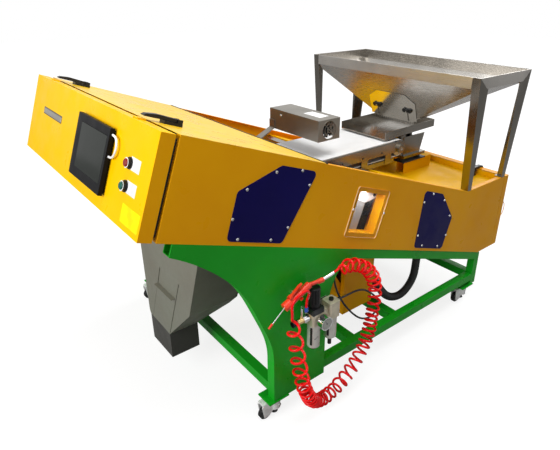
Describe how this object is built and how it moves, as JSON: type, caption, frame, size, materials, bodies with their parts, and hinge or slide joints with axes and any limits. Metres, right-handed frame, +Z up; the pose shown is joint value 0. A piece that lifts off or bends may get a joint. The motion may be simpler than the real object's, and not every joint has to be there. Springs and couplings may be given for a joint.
{
  "type": "optical colour sorter",
  "caption": "Belt-type optical colour sorter: sloping yellow housing on a green wheeled stand, with feed hopper, vibrating tray, conveyor, blower box, chutes and air unit.",
  "frame": {"origin": "floor level, under the middle of the footprint", "axes": "+X along the belt from the control door to the feed hopper, +Y across the belt away from the service side, +Z up"},
  "size_m": [1.9423, 1.229, 1.186],
  "materials": {
    "yellow_paint": "glossy powder coat",
    "green_paint": "glossy enamel",
    "blue_paint": "satin",
    "brushed_steel": "brushed, reflective",
    "dark_steel": "satin",
    "grey_paint": "satin",
    "white_belt": "smooth food-grade belt",
    "clear_acrylic": "clear",
    "black_plastic": "moulded",
    "black_rubber": "matt",
    "red_button": "moulded",
    "green_button": "moulded",
    "white_plastic": "moulded",
    "cast_aluminium": "die cast, painted clear",
    "red_plastic": "moulded",
    "ivory_plastic": "moulded",
    "wheel_tread": "nylon core and black tread"
  },
  "bodies": {
    "machine": {"accept_chute": "grey_paint", "air_hose": "black_rubber", "air_unit": "cast_aluminium", "belt_motor": "dark_steel", "blow_gun": "red_plastic", "blue_covers": "blue_paint", "body_hardware": "black_plastic", "bottom_pan": "yellow_paint", "coil_hose": "red_plastic", "conveyor_belt": "white_belt", "conveyor_frame": "dark_steel", "hopper_frame": "brushed_steel", "hopper_funnel": "brushed_steel", "ioniser_box": "brushed_steel", "rear_deck": "yellow_paint", "reject_bin": "yellow_paint", "reject_chute": "grey_paint", "rubber_trim": "black_rubber", "side_panels": "yellow_paint", "sorting_head": "dark_steel", "stand_base_frame": "green_paint", "stand_legs": "green_paint", "stand_top_frame": "green_paint", "suction_hose": "black_rubber", "top_cover": "yellow_paint", "vibrator": "brushed_steel", "window_pane": "clear_acrylic"},
    "control_door": {"front_door": "yellow_paint", "touch_panel": "black_plastic", "button_bezels": "brushed_steel", "panel_lead": "white_plastic"},
    "chute_flap": {"chute_flap": "grey_paint"},
    "feeder_tray": {"feeder_tray": "brushed_steel"},
    "gate_plate": {"gate_plate": "brushed_steel"},
    "gun_trigger": {"gun_trigger": "red_plastic"},
    "head_roller": {"head_roller": "brushed_steel"},
    "ioniser_fan": {"ioniser_fan": "black_plastic"},
    "latch_lever_far": {"latch_lever_far": "black_plastic"},
    "latch_lever_near": {"latch_lever_near": "black_plastic"},
    "latch_lever_rear": {"latch_lever_rear": "black_plastic"},
    "rear_door": {"rear_door": "yellow_paint"},
    "regulator_knob": {"regulator_knob": "black_plastic"},
    "start_button": {"start_button": "green_button"},
    "stop_button": {"stop_button": "red_button"},
    "tail_roller": {"tail_roller": "brushed_steel"},
    "wing_nut_far": {"wing_nut_far": "black_plastic"},
    "wing_nut_near": {"wing_nut_near": "black_plastic"},
    "caster_near_left": {"caster_frame_near_left": "ivory_plastic"},
    "wheel_near_left": {"caster_wheel_near_left": "wheel_tread"},
    "foot_near_left": {"caster_foot_near_left": "black_rubber"},
    "caster_near_right": {"caster_frame_near_right": "ivory_plastic"},
    "wheel_near_right": {"caster_wheel_near_right": "wheel_tread"},
    "foot_near_right": {"caster_foot_near_right": "black_rubber"},
    "caster_far_left": {"caster_frame_far_left": "ivory_plastic"},
    "wheel_far_left": {"caster_wheel_far_left": "wheel_tread"},
    "foot_far_left": {"caster_foot_far_left": "black_rubber"},
    "caster_far_right": {"caster_frame_far_right": "ivory_plastic"},
    "wheel_far_right": {"caster_wheel_far_right": "wheel_tread"},
    "foot_far_right": {"caster_foot_far_right": "black_rubber"}
  },
  "joints": [
    {"name": "control_door_hinge", "type": "hinge", "parent": "machine", "child": "control_door", "pos_m": [-0.92543, 0.047, 0.88247], "axis": [0, -1, 0], "range_deg": [0, 100]},
    {"name": "rear_door_hinge", "type": "hinge", "parent": "machine", "child": "rear_door", "pos_m": [0.8906, 0.047, 0.268], "axis": [0, 1, 0], "range_deg": [0, 90]},
    {"name": "latch_near_hinge", "type": "hinge", "parent": "machine", "child": "latch_lever_near", "pos_m": [-0.73013, -0.318, 1.14714], "axis": [0, 1, 0], "range_deg": [0, 110]},
    {"name": "latch_far_hinge", "type": "hinge", "parent": "machine", "child": "latch_lever_far", "pos_m": [-0.73013, 0.457, 1.14714], "axis": [0, 1, 0], "range_deg": [0, 110]},
    {"name": "latch_rear_hinge", "type": "hinge", "parent": "machine", "child": "latch_lever_rear", "pos_m": [0.8146, -0.353, 0.6635], "axis": [0, -1, 0], "range_deg": [0, 110]},
    {"name": "stop_button_press", "type": "slide", "parent": "control_door", "child": "stop_button", "axis": [0.9397, 0, -0.342], "range_m": [0, 0.004], "stiffness_N_per_m": 600, "springref_m": -0.001},
    {"name": "start_button_press", "type": "slide", "parent": "control_door", "child": "start_button", "axis": [0.9397, 0, -0.342], "range_m": [0, 0.004], "stiffness_N_per_m": 600, "springref_m": -0.001},
    {"name": "head_roller_spin", "type": "hinge", "parent": "machine", "child": "head_roller", "pos_m": [-0.4174, -0.013, 0.8], "axis": [0, 1, 0], "continuous": true},
    {"name": "tail_roller_spin", "type": "hinge", "parent": "machine", "child": "tail_roller", "pos_m": [0.4736, -0.013, 0.8], "axis": [0, 1, 0], "continuous": true},
    {"name": "tray_shake", "type": "slide", "parent": "machine", "child": "feeder_tray", "axis": [1, 0, 0], "range_m": [-0.0015, 0.0015], "stiffness_N_per_m": 15000},
    {"name": "gate_lift", "type": "slide", "parent": "machine", "child": "gate_plate", "axis": [-0.3198, 0, 0.9475], "range_m": [0, 0.04]},
    {"name": "wing_nut_near_turn", "type": "hinge", "parent": "machine", "child": "wing_nut_near", "pos_m": [0.58699, -0.108, 0.95009], "axis": [-0.9475, 0, -0.3198], "continuous": true},
    {"name": "wing_nut_far_turn", "type": "hinge", "parent": "machine", "child": "wing_nut_far", "pos_m": [0.58699, 0.082, 0.95009], "axis": [-0.9475, 0, -0.3198], "continuous": true},
    {"name": "fan_spin", "type": "hinge", "parent": "machine", "child": "ioniser_fan", "pos_m": [0.0386, -0.127, 0.955], "axis": [0, 1, 0], "continuous": true},
    {"name": "sample_slide", "type": "slide", "parent": "machine", "child": "chute_flap", "axis": [0, -0.4035, 0.915], "range_m": [0, 0.09]},
    {"name": "pressure_knob_turn", "type": "hinge", "parent": "machine", "child": "regulator_knob", "pos_m": [-0.3874, -0.545, 0.52], "axis": [0, 0, 1], "range_deg": [-360, 360]},
    {"name": "trigger_squeeze", "type": "hinge", "parent": "machine", "child": "gun_trigger", "pos_m": [-0.49884, -0.549, 0.56499], "axis": [0, 1, 0], "range_deg": [0, 8], "stiffness_Nm_per_rad": 0.6},
    {"name": "swivel_near_left", "type": "hinge", "parent": "machine", "child": "caster_near_left", "pos_m": [-0.5144, -0.469, 0.075], "axis": [0, 0, 1], "continuous": true},
    {"name": "roll_near_left", "type": "hinge", "parent": "caster_near_left", "child": "wheel_near_left", "pos_m": [-0.5594, -0.469, 0.025], "axis": [0, 1, 0], "continuous": true},
    {"name": "level_near_left", "type": "slide", "parent": "caster_near_left", "child": "foot_near_left", "axis": [0, 0, -1], "range_m": [0, 0.012]},
    {"name": "swivel_near_right", "type": "hinge", "parent": "machine", "child": "caster_near_right", "pos_m": [0.7226, -0.469, 0.075], "axis": [0, 0, 1], "continuous": true},
    {"name": "roll_near_right", "type": "hinge", "parent": "caster_near_right", "child": "wheel_near_right", "pos_m": [0.6776, -0.469, 0.025], "axis": [0, 1, 0], "continuous": true},
    {"name": "level_near_right", "type": "slide", "parent": "caster_near_right", "child": "foot_near_right", "axis": [0, 0, -1], "range_m": [0, 0.012]},
    {"name": "swivel_far_left", "type": "hinge", "parent": "machine", "child": "caster_far_left", "pos_m": [-0.5144, 0.563, 0.075], "axis": [0, 0, 1], "continuous": true},
    {"name": "roll_far_left", "type": "hinge", "parent": "caster_far_left", "child": "wheel_far_left", "pos_m": [-0.5594, 0.563, 0.025], "axis": [0, 1, 0], "continuous": true},
    {"name": "level_far_left", "type": "slide", "parent": "caster_far_left", "child": "foot_far_left", "axis": [0, 0, -1], "range_m": [0, 0.012]},
    {"name": "swivel_far_right", "type": "hinge", "parent": "machine", "child": "caster_far_right", "pos_m": [0.7226, 0.563, 0.075], "axis": [0, 0, 1], "continuous": true},
    {"name": "roll_far_right", "type": "hinge", "parent": "caster_far_right", "child": "wheel_far_right", "pos_m": [0.6776, 0.563, 0.025], "axis": [0, 1, 0], "continuous": true},
    {"name": "level_far_right", "type": "slide", "parent": "caster_far_right", "child": "foot_far_right", "axis": [0, 0, -1], "range_m": [0, 0.012]}
  ],
  "couplings": [
    {"joint": "head_roller_spin", "follows": "tail_roller_spin", "ratio": 1}
  ]
}
